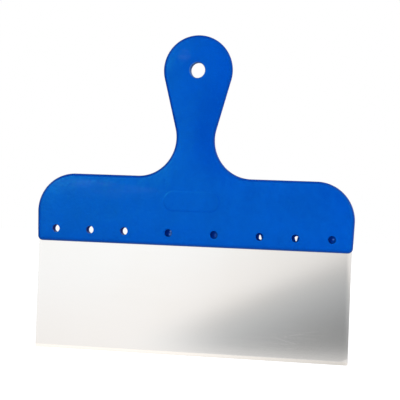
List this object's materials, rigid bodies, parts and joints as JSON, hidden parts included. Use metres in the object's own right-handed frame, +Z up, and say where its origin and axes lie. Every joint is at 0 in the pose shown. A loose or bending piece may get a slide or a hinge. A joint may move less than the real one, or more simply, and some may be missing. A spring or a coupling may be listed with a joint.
{
  "type": "flexible putty knife",
  "caption": "Wide flexible filling knife: a thin stainless spring-steel blade moulded along its whole top edge into a flat plastic handle with a paddle grip and a hanging hole.",
  "frame": {"origin": "middle of the blade's working edge, in the blade's mid-plane", "axes": "+X along the working edge, +Y out of the back face (the front, -Y, face is the one turned to the viewer; both faces carry a blank label panel), +Z up the grip"},
  "size_m": [0.2532, 0.0094, 0.25],
  "materials": {
    "handle_plastic": "satin moulded polypropylene with a fine texture",
    "blade_steel": "fine grain brushed along the blade, ground along the working edge"
  },
  "bodies": {
    "handle": {"handle": "handle_plastic"},
    "blade": {"blade": "blade_steel"}
  },
  "joints": [
    {"name": "blade_flex", "type": "hinge", "parent": "handle", "child": "blade", "pos_m": [0, 0, 0.085], "axis": [1, 0, 0], "range_deg": [-12, 12], "stiffness_Nm_per_rad": 17.7, "deforming": ["blade"]}
  ]
}
